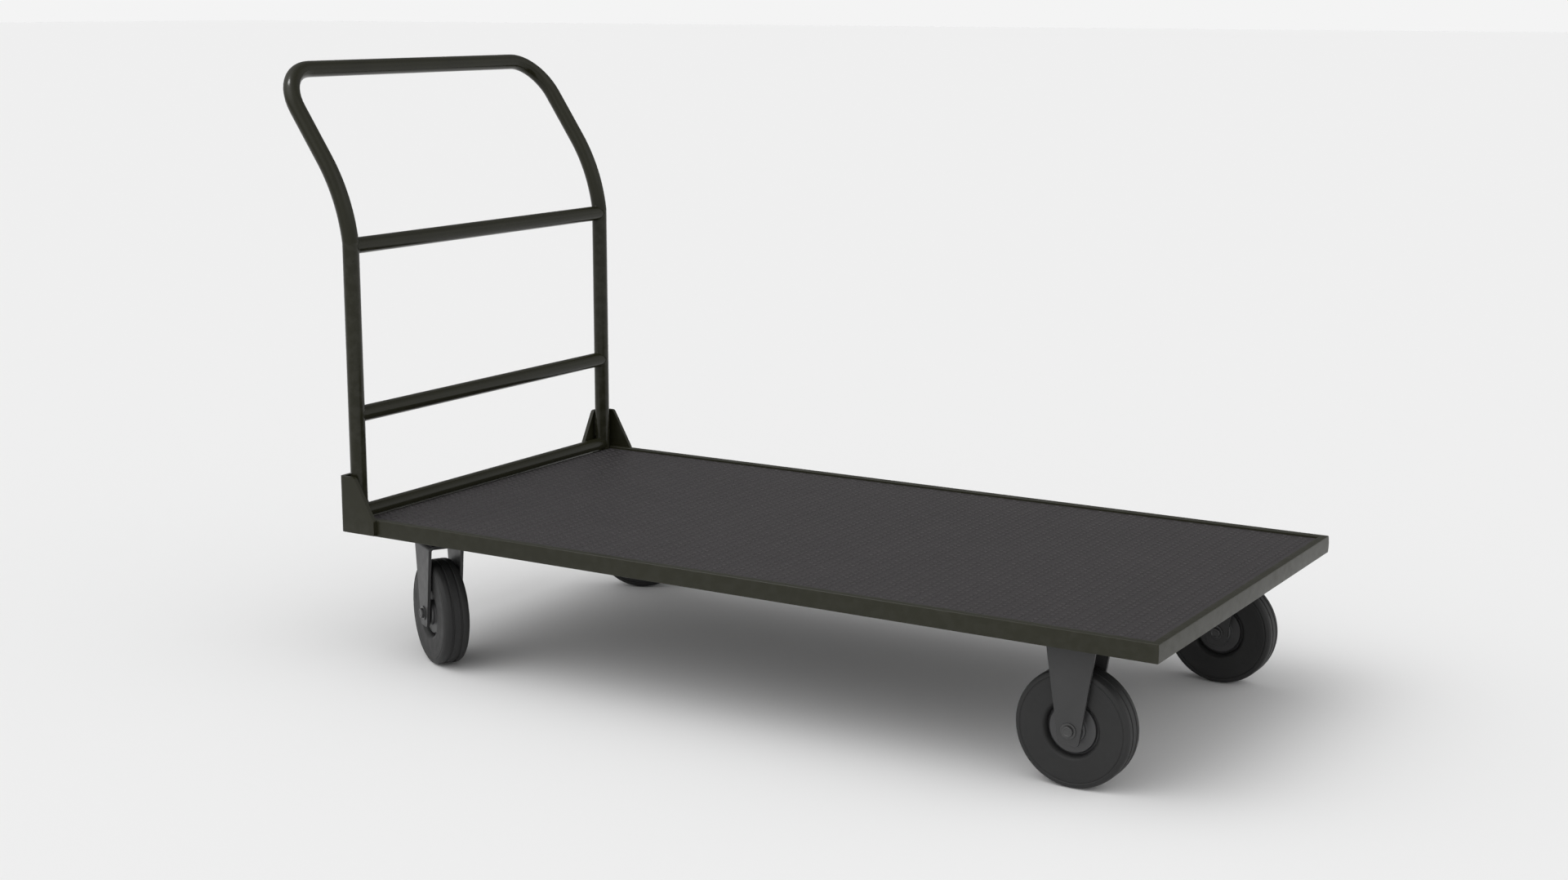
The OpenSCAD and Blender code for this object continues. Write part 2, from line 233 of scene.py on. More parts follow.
def ranged(tree, value, from_range, to_range):
    n = node(tree, "ShaderNodeMapRange", {
        "Value": value, "From Min": from_range[0], "From Max": from_range[1],
        "To Min": to_range[0], "To Max": to_range[1]})
    return n.outputs["Result"]


def noise(tree, coord, scale, detail, rough, stretch=None):
    if stretch:
        coord = node(tree, "ShaderNodeMapping", {"Vector": coord, "Scale": stretch}).outputs["Vector"]
    n = node(tree, "ShaderNodeTexNoise",
             {"Vector": coord, "Scale": scale, "Detail": detail, "Roughness": rough})
    return n.outputs["Fac"]


def mixed(tree, factor, a, b):
    n = node(tree, "ShaderNodeMix", data_type="RGBA")
    for socket, value in ((n.inputs[0], factor), (n.inputs[6], a), (n.inputs[7], b)):
        if isinstance(value, bpy.types.NodeSocket):
            tree.links.new(value, socket)
        else:
            socket.default_value = value
    return n.outputs[2]


def rgba(c, k=1.0):
    return (c[0] * k, c[1] * k, c[2] * k, 1.0)


def finish(name, colour, rough, metallic=0.0, mottle=0.12, mottle_scale=7.0, grain=0.00006,
           grain_scale=900.0, wear=None, wear_from=0.56, wear_to=0.68, wear_most=0.5,
           stretch=None, dust=None, specular=0.5):
    """A procedural surface: mottled colour, worn edges, uneven gloss and a fine grain."""
    mat = bpy.data.materials.new(name)
    mat.use_nodes = True
    tree = mat.node_tree
    shader = tree.nodes["Principled BSDF"]
    coord = node(tree, "ShaderNodeTexCoord").outputs["Object"]
    broad = noise(tree, coord, mottle_scale, 5.0, 0.6)
    fine = noise(tree, coord, grain_scale, 2.0, 0.5, stretch)
    patch = noise(tree, coord, 55.0, 4.0, 0.6)
    base = mixed(tree, ranged(tree, broad, (0.3, 0.7), (0.0, 1.0)),
                 rgba(colour, 1 - mottle), rgba(colour, 1 + mottle))
    base = mixed(tree, ranged(tree, fine, (0.35, 0.65), (0.0, 0.25)), base, rgba(colour, 0.8))
    if dust:
        base = mixed(tree, ranged(tree, patch, (0.45, 0.75), (0.0, dust[1])), base, rgba(dust[0]))
    gloss = ranged(tree, patch, (0.3, 0.7), (rough - 0.05, rough + 0.07))
    if wear:
        point = node(tree, "ShaderNodeNewGeometry").outputs["Pointiness"]
        edge = ranged(tree, point, (wear_from, wear_to), (0.0, 1.0))
        broken = ranged(tree, patch, (0.42, 0.62), (0.0, wear_most))
        mask = node(tree, "ShaderNodeMath", {0: edge, 1: broken}, operation="MULTIPLY").outputs[0]
        base = mixed(tree, mask, base, rgba(wear))
    tree.links.new(base, shader.inputs["Base Color"])
    tree.links.new(gloss, shader.inputs["Roughness"])
    bump = node(tree, "ShaderNodeBump", {"Height": fine, "Strength": 0.6, "Distance": grain})
    tree.links.new(bump.outputs["Normal"], shader.inputs["Normal"])
    shader.inputs["Metallic"].default_value = metallic
    shader.inputs["Specular IOR Level"].default_value = specular
    return mat


OLIVE = (0.0185, 0.0185, 0.0098)
FINISHES = {
    "frame_paint": finish("frame_paint", OLIVE, 0.33, wear=(0.05, 0.049, 0.04), mottle=0.05,
                          specular=0.25),
    "tread_paint": finish("tread_paint", (0.0395, 0.036, 0.0378), 0.5, grain=0.00012,
                          grain_scale=600.0, mottle=0.06, dust=((0.06, 0.058, 0.055), 0.1),
                          wear=(0.085, 0.079, 0.082), wear_from=0.52, wear_to=0.62, wear_most=0.8,
                          specular=0.3),
    "handle_paint": finish("handle_paint", (0.0165, 0.0165, 0.0088), 0.17,
                           wear=(0.05, 0.049, 0.04), grain=0.00002, specular=0.22),
    "caster_grey": finish("caster_grey", (0.047, 0.047, 0.0473), 0.38, metallic=0.1,
                          wear=(0.13, 0.13, 0.13), specular=0.35),
    "fastener_steel": finish("fastener_steel", (0.075, 0.075, 0.075), 0.34, metallic=0.6,
                             grain_scale=500.0, stretch=(1.0, 1.0, 6.0), wear=(0.3, 0.3, 0.3)),
    "hub_plastic": finish("hub_plastic", (0.05, 0.05, 0.051), 0.4, grain=0.00008),
    "tyre_rubber": finish("tyre_rubber", (0.021, 0.021, 0.021), 0.52, grain=0.00012,
                          grain_scale=750.0, dust=((0.045, 0.044, 0.042), 0.12), specular=0.3),
}

# ---------- camera ----------
# Focal length in pixels of a picture WIDE pixels across; angles in radians, yaw 0 along +Y
F_PX, WIDE, SENSOR = 2725.391, 1920, 36.0
YAW, PITCH, ROLL = 0.54454057, 0.19571189, 0.00220228
forward = Vector((-math.sin(YAW) * math.cos(PITCH), math.cos(YAW) * math.cos(PITCH),
                  -math.sin(PITCH)))
level = Vector((math.cos(YAW), math.sin(YAW), 0))
upward = level.cross(forward)
right = level * math.cos(ROLL) + upward * math.sin(ROLL)
above = upward * math.cos(ROLL) - level * math.sin(ROLL)
camera_data = bpy.data.cameras.new("camera")
camera_data.sensor_fit = "HORIZONTAL"
camera_data.sensor_width = SENSOR
camera_data.lens = F_PX * SENSOR / WIDE
camera_data.clip_end = 200
CAMERA_X, CAMERA_Y, CAMERA_Z = 2022.376 + DECK_X, -3504.620, 1245.756
camera = bpy.data.objects.new("camera", camera_data)
bpy.context.scene.collection.objects.link(camera)
pose = Matrix((right, above, -forward)).transposed().to_4x4()
pose.translation = Vector((CAMERA_X, CAMERA_Y, CAMERA_Z)) * MM
camera.matrix_world = pose
bpy.context.scene.camera = camera

# ---------- floor and light ----------
scene = bpy.context.scene
scene.view_settings.view_transform = "Standard"
FLOOR_HALF_M, FLOOR_ALBEDO = 90.0, 0.9
floor_mesh = bpy.data.meshes.new("floor")
floor_mesh.from_pydata([(i * FLOOR_HALF_M, j * FLOOR_HALF_M, 0)
                        for i, j in ((-1, -1), (1, -1), (1, 1), (-1, 1))], [], [(0, 1, 2, 3)])
floor = bpy.data.objects.new("floor", floor_mesh)
scene.collection.objects.link(floor)
floor_mat = bpy.data.materials.new("floor")
floor_mat.use_nodes = True
floor_shader = floor_mat.node_tree.nodes["Principled BSDF"]
floor_shader.inputs["Base Color"].default_value = (FLOOR_ALBEDO, FLOOR_ALBEDO, FLOOR_ALBEDO, 1)
floor_shader.inputs["Roughness"].default_value = 0.9
floor_shader.inputs["Specular IOR Level"].default_value = 0.0
floor_mesh.materials.append(floor_mat)

# Soft boxes of the studio, seen from the floor: azimuth from +X, elevation, brightness
SOFT_BOXES = ((0, 90, 0.32), (180, 60, 0.29), (240, 60, 1.38), (0, 35, 1.02), (225, 35, 0.82),
              (270, 35, 0.17), (45, 12, 0.55), (180, 12, 0.33), (270, 12, 0.6), (315, 12, 0.5))
AMBIENT, BOX_SPREAD, BACKDROP = 0.18, 9.0, 0.905

world = bpy.data.worlds.new("studio")
scene.world = world
world.use_nodes = True
sky = world.node_tree


def unit(azimuth, elevation):
    """The direction at an azimuth from +X and an elevation, both in degrees."""
    a, e = math.radians(azimuth), math.radians(elevation)
    return Vector((math.cos(a) * math.cos(e), math.sin(a) * math.cos(e), math.sin(e)))


def sky_math(operation, *values):
    return node(sky, "ShaderNodeMath", dict(enumerate(values)), operation=operation).outputs[0]


direction = node(sky, "ShaderNodeTexCoord").outputs["Generated"]
glow = AMBIENT / FLOOR_ALBEDO
for azimuth, elevation, level_of in SOFT_BOXES:
    cosine = node(sky, "ShaderNodeVectorMath", {0: direction, 1: unit(azimuth, elevation)},
                  operation="DOT_PRODUCT").outputs["Value"]
    lobe = sky_math("EXPONENT", sky_math("MULTIPLY_ADD", cosine, BOX_SPREAD, -BOX_SPREAD))
    glow = sky_math("MULTIPLY_ADD", lobe, level_of / FLOOR_ALBEDO, glow)
# The camera sees a plain backdrop in place of this sky
seen = node(sky, "ShaderNodeLightPath").outputs["Is Camera Ray"]
background = sky.nodes["Background"]
plain = node(sky, "ShaderNodeBackground", {"Color": (BACKDROP, BACKDROP, BACKDROP, 1)})
background.inputs["Color"].default_value = (1, 1, 1, 1)
sky.links.new(glow, background.inputs["Strength"])
either = node(sky, "ShaderNodeMixShader", {0: seen, 1: background.outputs[0], 2: plain.outputs[0]})
sky.links.new(either.outputs[0], sky.nodes["World Output"].inputs["Surface"])

# A strip lamp high beyond the handle, left out of diffuse light: it shows in glossy reflections
STRIP_W_M, STRIP_L_M, STRIP_WATTS, STRIP_AWAY_M = 0.35, 1.0, 30.0, 3.0
STRIP_AZIMUTH, STRIP_ELEVATION, STRIP_AIM = 207, 66, (DECK_X - 900, -400, 1100)
strip = bpy.data.lights.new("overhead_strip", "AREA")
strip.shape = "RECTANGLE"
strip.size, strip.size_y, strip.energy = STRIP_W_M, STRIP_L_M, STRIP_WATTS
overhead = bpy.data.objects.new("overhead_strip", strip)
scene.collection.objects.link(overhead)
overhead.visible_diffuse = False
aim = Vector(STRIP_AIM) * MM
away = unit(STRIP_AZIMUTH, STRIP_ELEVATION)
overhead.matrix_world = (Matrix.Translation(aim + away * STRIP_AWAY_M)
                         @ away.to_track_quat("Z", "Y").to_matrix().to_4x4())

# ---------- deck ----------
RIM_W, RIM_H, RIM_R = 15.0, DECK_TOP - RIM_BOTTOM, 2.0
RIM_BULGE, BULGE_STEPS = 0.8, 8


def rim_outline():
    """Bulged outer face touching u = 0, inner face at u = RIM_W; heights above the rim's bottom."""
    face = [1 - 2 * k / BULGE_STEPS for k in range(1, BULGE_STEPS)]
    bulge = [(RIM_BULGE * h * h, RIM_H * (1 + h) / 2) for h in face]
    corners = [(RIM_BULGE, 0), (RIM_W, 0), (RIM_W, RIM_H), (RIM_BULGE, RIM_H)]
    return rounded(corners + bulge, [RIM_R] * 4 + [0] * len(bulge), 5)


def side_rail(side):
    rings = []
    for end in (0, 1):
        ring = []
        for u, v in rim_outline():
            x = END_X - u if end else RIM_START
            ring.append((x, side * (HALF_W - u), RIM_BOTTOM + v))
        rings.append(ring)
    return Shape().skin(rings)


def end_rail():
    rings = []
    for s in (-1, 1):
        rings.append([(END_X - u, s * (HALF_W - u), RIM_BOTTOM + v) for u, v in rim_outline()])
    return Shape().skin(rings)


build(side_rail(-1), "rim_near", "chassis", "frame_paint", ["rail_near"])
build(side_rail(1), "rim_far", "chassis", "frame_paint", ["rail_far"])
build(end_rail(), "rim_end", "chassis", "frame_paint", ["rail_end"])

# The pattern repeats every TREAD_X by TREAD_Y. A column is its start, its end and its stagger.
TREAD_X, TREAD_Y = 30.5, 15.09
BAR_COLUMNS = ((7.6, 18.5, 0), (18.5, 29.4, 1))
BAR_Y0, BAR_H, PLAIN_EDGE = 3.855, 1.3, 2
# Half length, half width and corner cut of a bar at its foot and at its top, with their heights
BAR_LEVELS = ((4.9, 2.6, 1.7, 0), (4.2, 1.9, 1.3, BAR_H))


def tread_sheet():
    """The sheet with its raised bars: two staggered columns of short bars, then a plain band."""
    x_lo, x_hi, y_lo, y_hi = SHEET_LO.x, SHEET_HI.x, SHEET_LO.y, SHEET_HI.y
    top, low = SHEET_HI.z - BAR_H, SHEET_LO.z
    xs, kinds = [x_lo], []
    k = math.floor((x_lo - DECK_X) / TREAD_X)
    while DECK_X + k * TREAD_X < x_hi:
        for a, b, phase in BAR_COLUMNS:
            x0, x1 = DECK_X + k * TREAD_X + a, DECK_X + k * TREAD_X + b
            if x0 < x_lo + PLAIN_EDGE or x1 > x_hi - PLAIN_EDGE:
                continue
            if xs[-1] < x0 - 1e-6:
                xs.append(x0)
                kinds.append(None)
            xs.append(x1)
            kinds.append(phase)
        k += 1
    xs.append(x_hi)
    kinds.append(None)
    step = TREAD_Y / 2
    m = math.ceil((y_lo + PLAIN_EDGE - BAR_Y0) / step)
    ys, first = [y_lo], m
    while BAR_Y0 + m * step < y_hi - PLAIN_EDGE:
        ys.append(BAR_Y0 + m * step)
        m += 1
    ys.append(y_hi)
    verts = [(x, y, top) for x in xs for y in ys]
    ny = len(ys)
    faces = []
    for i, kind in enumerate(kinds):
        j = 0
        while j < ny - 1:
            whole = kind is not None and 0 < j < ny - 3
            if not (whole and (first + j - 1 - kind) % 2 == 0):
                faces.append((i * ny + j, (i + 1) * ny + j, (i + 1) * ny + j + 1, i * ny + j + 1))
                j += 1
                continue
            q = [i * ny + j, (i + 1) * ny + j, (i + 1) * ny + j + 1, (i + 1) * ny + j + 2,
                 i * ny + j + 2, i * ny + j + 1]
            cx, cy = (xs[i] + xs[i + 1]) / 2, ys[j + 1]
            p = []
            for a, b, c, h in BAR_LEVELS:
                p.append(len(verts))
                verts += [(cx + dx, cy + dy, top + h) for dx, dy in (
                    (-a, c - b), (c - a, -b), (a - c, -b), (a, c - b),
                    (a, b - c), (a - c, b), (c - a, b), (-a, b - c))]
            o, t = p
            faces += [(q[0], q[1], o + 2, o + 1), (q[1], o + 3, o + 2), (q[1], q[2], o + 4, o + 3),
                      (q[2], q[3], o + 4), (q[3], o + 5, o + 4), (q[3], q[4], o + 6, o + 5),
                      (q[4], o + 7, o + 6), (q[4], q[5], o, o + 7), (q[5], q[0], o),
                      (q[0], o + 1, o)]
            faces += [(o + n, o + (n + 1) % 8, t + (n + 1) % 8, t + n) for n in range(8)]
            faces.append(tuple(range(t, t + 8)))
            j += 2
    loop = [i * ny for i in range(len(xs))]
    loop += [(len(xs) - 1) * ny + j for j in range(1, ny)]
    loop += [i * ny + ny - 1 for i in range(len(xs) - 2, -1, -1)]
    loop += [j for j in range(ny - 2, 0, -1)]
    base = len(verts)
    verts += [(verts[i][0], verts[i][1], low) for i in loop]
    n = len(loop)
    faces += [(loop[i], base + i, base + (i + 1) % n, loop[(i + 1) % n]) for i in range(n)]
    faces.append(tuple(range(base, base + n)))
    return Shape().add(verts, faces)


build(tread_sheet(), "tread_sheet", "chassis", "tread_paint", ["deck_sheet"], angle=20, weld=False)


def channel(x, width, top, depth, wall, open_up=False):
    """A folded channel across the deck between the side rails."""
    w, s = width / 2, -1 if open_up else 1
    outline = [(-w, 0), (w, 0), (w, -depth * s), (w - wall, -depth * s), (w - wall, -wall * s),
               (wall - w, -wall * s), (wall - w, -depth * s), (-w, -depth * s)]
    radii = [wall * 1.4, wall * 1.4, 0.4, 0.4, wall * 0.6, wall * 0.6, 0.4, 0.4]
    outline = rounded(outline, radii, 4)
    inner = SHEET_HI.y
    return [[(x + u, y, top + v) for u, v in outline] for y in (-inner, inner)]


MEMBER_GAP, MEMBER_W, MEMBER_T, BEARER_T = 230, 40, 3, 4
LAST_MEMBER_X = DECK_HALF_L - RIM_W - 21
members = Shape()
member_top = SHEET_LO.z
member_depth = member_top - RIM_BOTTOM - 0.5
for x in [MEMBER_GAP * k for k in range(-2, 3)] + [LAST_MEMBER_X]:
    members.skin(channel(DECK_X + x, MEMBER_W, member_top, member_depth, MEMBER_T))
build(members, "cross_channels", "chassis", "frame_paint", ["cross_members"], bevel=0.4)
for name in ("bearer_handle", "bearer_end"):
    low, high = box_mm(name)
    shape = Shape().skin(channel((low.x + high.x) / 2, high.x - low.x, low.z, high.z - low.z,
                                 BEARER_T, open_up=True))
    build(shape, name + "_channel", "chassis", "frame_paint", [name], bevel=0.5)

SILL_T, SILL_W = 3, 27
sill_lo, sill_hi = box_mm("sill_handle")
sill_h = sill_hi.z - sill_lo.z
sill_outline = rounded([(0, 0), (SILL_T, 0), (SILL_T, sill_h - SILL_T), (SILL_W, sill_h - SILL_T),
                        (SILL_W, sill_h), (0, sill_h)], [0.6, 0.6, 1.5, 0.6, 0.6, 3.5], 4)
sill_rings = [[(sill_lo.x + u, y, sill_lo.z + v) for u, v in sill_outline]
              for y in (sill_lo.y, sill_hi.y)]
build(Shape().skin(sill_rings), "handle_sill", "chassis", "frame_paint", ["sill_handle"])

FOOT_L, FOOT_PAST_UPRIGHT = 31, 20
feet = Shape()
for s in (-1, 1):
    y0, y1 = sorted((s * HALF_W, s * (UP_Y - FOOT_PAST_UPRIGHT)))
    feet.prism([(HANDLE_X, y0), (HANDLE_X + FOOT_L, y0), (HANDLE_X + FOOT_L, y1), (HANDLE_X, y1)],
               SILL_TOP - RIM_BOTTOM, at(0, 0, RIM_BOTTOM))
build(feet, "corner_blocks", "chassis", "frame_paint", ["corner_feet"], bevel=1.0)

# ---------- corner brackets ----------
BR_T, BR_WING, BR_TOP_W, BR_BEND, BR_BEND_IN = 8.0, 82.0, 37.0, 9, 1
BR_LOW, BR_TOP, BR_SIDE = BRACKET_LO.z, BRACKET_HI.z, DECK_TOP - 1.5


def bracket(side):
    """One plate bent round the corner, its upper edge sloping down along both wings."""
    slope = rounded([(BR_WING, BR_LOW), (BR_WING, BR_SIDE), (BR_TOP_W, BR_TOP),
                     (BR_BEND, BR_TOP)], [0, 9, 9, 0], 6, closed=False)
    stations = slope[1:]
    rings = []

    def ring(outer, inner, top):
        rings.append([(*outer, BR_LOW), (*outer, top), (*inner, top), (*inner, BR_LOW)])

    for w, z in stations:
        ring((w, 0), (w, BR_T), z)
    for k in range(1, 8):
        c, s = math.cos(k * math.pi / 16), math.sin(k * math.pi / 16)
        ring((BR_BEND - BR_BEND * s, BR_BEND - BR_BEND * c),
             (BR_BEND - BR_BEND_IN * s, BR_BEND - BR_BEND_IN * c), BR_TOP)
    for w, z in reversed(stations):
        ring((0, w), (BR_T, w), z)
    place = at(HANDLE_X - BR_T, side * (HALF_W + BR_T), 0) @ Matrix.Diagonal((1, -side, 1, 1))
    return Shape().skin(rings, place=place)


build(bracket(-1), "gusset_near", "chassis", "frame_paint", ["bracket_near"], bevel=0.8, angle=40)
build(bracket(1), "gusset_far", "chassis", "frame_paint", ["bracket_far"], bevel=0.8, angle=40)

# ---------- handle ----------
TUBE_SIDES = 56
LEAN_R, LEAN_START, LEAN_END = 344.0, math.radians(7), math.radians(34.3)
LEAN_L, CORNER_R, TUBE_T = 195.0, 85.0, 2.5
lean_c = Vector((UP_X - LEAN_R * math.cos(LEAN_START), 0,
                 JOINT_Z - LEAN_R * math.sin(LEAN_START)))


def upright(side):
    r = TUBE_R
    profile = [(r - TUBE_T, SILL_TOP), (r, SILL_TOP), (r, JOINT_Z), (r - TUBE_T, JOINT_Z)]
    return Shape().lathe(profile, at(UP_X, side * UP_Y, 0), n=TUBE_SIDES)


def bow_path():
    half = []
    for k in range(15):
        a = LEAN_START + (LEAN_END - LEAN_START) * k / 14
        half.append(lean_c + Vector((math.cos(a), 0, math.sin(a))) * LEAN_R - Y * UP_Y)
    lean = Vector((-math.sin(LEAN_END), 0, math.cos(LEAN_END)))
    corner = half[-1] + lean * (LEAN_L - CORNER_R) + Y * CORNER_R
    for k in range(13):
        a = k * math.pi / 2 / 12
        half.append(corner - Y * CORNER_R * math.cos(a) + lean * CORNER_R * math.sin(a))
    return half + [Vector((p.x, -p.y, p.z)) for p in reversed(half)]


build(upright(-1), "upright_tube_near", "chassis", "handle_paint", ["upright_near"])
build(upright(1), "upright_tube_far", "chassis", "handle_paint", ["upright_far"])
bow = Shape().sweep(bow_path(), TUBE_R, TUBE_SIDES, flat_start=JOINT_Z)
build(bow, "bow_tube", "chassis", "handle_paint", ["push_bow"])


def crossbar(node_name, name):
    low, high = box_mm(node_name)
    r = (high.z - low.z) / 2
    z = (high.z + low.z) / 2
    reach = UP_Y - 4
    path = [(UP_X, y, z) for y in (-reach, -reach / 3, reach / 3, reach)]
    build(Shape().sweep(path, r, TUBE_SIDES), name, "chassis", "handle_paint", [node_name])
    return r, z


bars = [crossbar("crossbar_" + n, n + "_bar") for n in ("base", "lower", "upper")]


def bar_bead(r, z, side, n=96):
    """Centreline of the weld where a crossbar meets an upright."""
    path = []
    for k in range(n):
        a = k * math.tau / n
        dx = r * math.sin(a)
        y = UP_Y - math.sqrt(max(TUBE_R**2 - dx**2, 0))
        path.append((UP_X + dx, side * y, z + r * math.cos(a)))
    return path


BEAD_WAVE, BAR_BEAD_R, BAR_BEAD_RIPPLE, BACK_BEAD_R, BACK_BEAD_RIPPLE = 2.1, 1.25, 0.16, 2.2, 0.2
BACK_BEAD_X, BACK_BEAD_Y, BACK_BEAD_Z, BACK_BEAD_L, BACK_BEAD_STEPS = 2.3, 7.4, 304, 44, 60
beads = Shape()
for r, z in bars[1:]:
    for side in (-1, 1):
        path = bar_bead(r, z, side)
        radii = [BAR_BEAD_R + BAR_BEAD_RIPPLE * math.sin(k * BEAD_WAVE) for k in range(len(path))]
        beads.sweep(path, radii, 10, closed=True, centre=(UP_X, side * (UP_Y - 9), z))
for side in (-1, 1):
    for s in (-1, 1):
        path = [(HANDLE_X + BACK_BEAD_X, side * UP_Y + s * BACK_BEAD_Y,
                 BACK_BEAD_Z + BACK_BEAD_L * k / BACK_BEAD_STEPS) for k in range(BACK_BEAD_STEPS + 1)]
        radii = [BACK_BEAD_R + BACK_BEAD_RIPPLE * math.sin(k * BEAD_WAVE) for k in range(len(path))]
        beads.sweep(path, radii, 12)
build(beads, "weld_beads", "chassis", "handle_paint", ["upright_welds"], angle=60)

# ---------- casters ----------
WHEEL_Z = 100.0
LEG_IN, LEG_T, LEG_FOOT = 28.5, 6.0, 75.0
LEG_OUT = LEG_IN + LEG_T
PLATE_Z, PLATE_T, PLATE_HALF_L, PLATE_HALF_W, PLATE_CORNER_R = 255.0, 5.0, 70, 60, 9
CROWN_Z, CROWN_T = 231.0, 6.0
BOLT_U, BOLT_V = 55.0, 45.0


def leg_half(z):
    return 17.5 + (z - LEG_FOOT) * 0.155


def fork_strip(top, x=0.0, bend=9.0):
    """Both legs and the web between them as one bent strip, in the caster's own frame."""
    path = []
    for z, h in ((LEG_FOOT, 13.2), (LEG_FOOT + 0.8, 15.0), (LEG_FOOT + 2.2, 16.6),
                 (LEG_FOOT + 4.5, 17.9), (LEG_FOOT + 7, leg_half(LEG_FOOT + 7)),
                 (WHEEL_Z + 20, leg_half(WHEEL_Z + 20)), (180, leg_half(180)),
                 (top - bend, leg_half(top - bend))):
        path.append(((-LEG_OUT, z), (-LEG_IN, z), h))
    wide = leg_half(top)
    for k in range(1, 8):
        a = k * math.pi / 2 / 7
        c, s = math.cos(a), math.sin(a)
        y, z = -LEG_OUT + bend, top - bend
        path.append(((y - bend * c, z + bend * s),
                     (y - (bend - LEG_T) * c, z + (bend - LEG_T) * s), wide))
    path += [((-outer[0], outer[1]), (-inner[0], inner[1]), h) for outer, inner, h in reversed(path)]
    return [[(x - h, *o), (x + h, *o), (x + h, *i), (x - h, *i)] for o, i, h in path]


def hex_prism(radius, height, place, shape):
    """A hexagon head or nut with its top corners turned down."""
    n, rings = 36, [[], [], []]
    for k in range(n):
        a = k * math.tau / n
        off = (a + math.pi / 6) % (math.pi / 3) - math.pi / 6
        rho = radius * math.cos(math.pi / 6) / math.cos(off)
        drop = (rho - radius * 0.86) * 0.55
        rings[0].append((rho * math.cos(a), rho * math.sin(a), 0))
        rings[1].append((rho * math.cos(a), rho * math.sin(a), height - drop))
        rings[2].append((radius * 0.84 * math.cos(a), radius * 0.84 * math.sin(a), height))
    shape.skin(rings, place=place)


def washer(shape, r_in, r_out, thick, place, n=48):
    c = min(0.5, thick / 3)
    outline = rounded([(r_in, 0), (r_out, 0), (r_out, thick), (r_in, thick)], c, 2)
    shape.lathe(outline, place, n)


def top_plate(place):
    u, v = PLATE_HALF_L, PLATE_HALF_W
    outline = rounded([(-u, -v), (u, -v), (u, v), (-u, v)], PLATE_CORNER_R, 6)
    return Shape().prism(outline, PLATE_T, place @ at(0, 0, PLATE_Z))


def wheel_frame(tag):
    """Local X along the wheel's rolling direction, local Y along its axle, at floor height."""
    joint = JOINTS["wheel_" + tag + "_spin"]
    centre = Vector(joint["pos_m"]) / MM
    axle = Vector(joint["axis"]).normalized()
    return frame_of(Vector((centre.x, centre.y, 0)), axle.cross(Z), axle)


def along_axle(place):
    """Turns the lathe axis onto the axle, at the wheel's centre."""
    return place @ at(0, 0, WHEEL_Z) @ turned(-math.pi / 2, "X")


def axle_set(tag, body):
    spin = along_axle(wheel_frame(tag))
    bolt = Shape()
    head = rounded([(0, -LEG_OUT - 6.3), (5.2, -LEG_OUT - 6.3), (6.4, -LEG_OUT - 7),
                    (9.5, -LEG_OUT - 7), (9.5, -LEG_OUT - 2), (6, -LEG_OUT - 2),
                    (6, LEG_OUT + 13), (0, LEG_OUT + 13)],
                   [0, 0.5, 0.5, 1.4, 0.3, 0.3, 1.0, 0], 4, closed=False)
    bolt.lathe(head, spin, 64, closed=False)
    build(bolt, "axle_bolt_" + tag, body, "fastener_steel", ["axle_" + tag])
    nut = Shape()
    hex_prism(10.4, 9, spin @ at(0, 0, LEG_OUT + 2), nut)
    build(nut, "axle_nut_" + tag, body, "fastener_steel", ["nut_" + tag])
    rings = Shape()
    washer(rings, 6, 13.5, 2, spin @ at(0, 0, -LEG_OUT - 2))
    washer(rings, 6, 13.5, 2, spin @ at(0, 0, LEG_OUT))
    washer(rings, 6, 10, 2.5, spin @ at(0, 0, -LEG_IN))
    washer(rings, 6, 10, 2.5, spin @ at(0, 0, 26))
    build(rings, "axle_washers_" + tag, body, "fastener_steel", ["rings_" + tag])


def mirrored(half):
    """A wheel profile from its half with height up to 0, and that half's mirror image."""
    return half + [(r, -h) for r, h in reversed(half)]


TYRE_HALF = rounded(
    [(46.5, -21), (51, -25), (60, -24.6), (74, -24.6), (82, -25), (88.7, -25), (90, -23.9),
     (91.3, -25), (93.2, -24.9), (97.6, -22.4), (99.6, -18.4), (100, -14), (100, -10.4),
     (97.9, -9.4), (97.9, -6.9), (100, -5.9)],
    [0, 5, 4, 4, 3, 0.5, 0.5, 0.5, 3, 3, 3, 3, 0.7, 0.6, 0.6, 0.7], 3, closed=False)
TYRE_PROFILE = [(45, -13), (45.4, -16)] + [tuple(p) for p in TYRE_HALF]
HUB_HALF = [tuple(p) for p in rounded(
    [(16, -25.5), (22, -25.5), (24, -23.5), (24, -18), (40.5, -18), (41.5, -13), (45, -12), (45, 0)],
    [0.4, 1.0, 0.8, 2.0, 1.5, 1.0, 0.5, 0], 4, closed=False)]


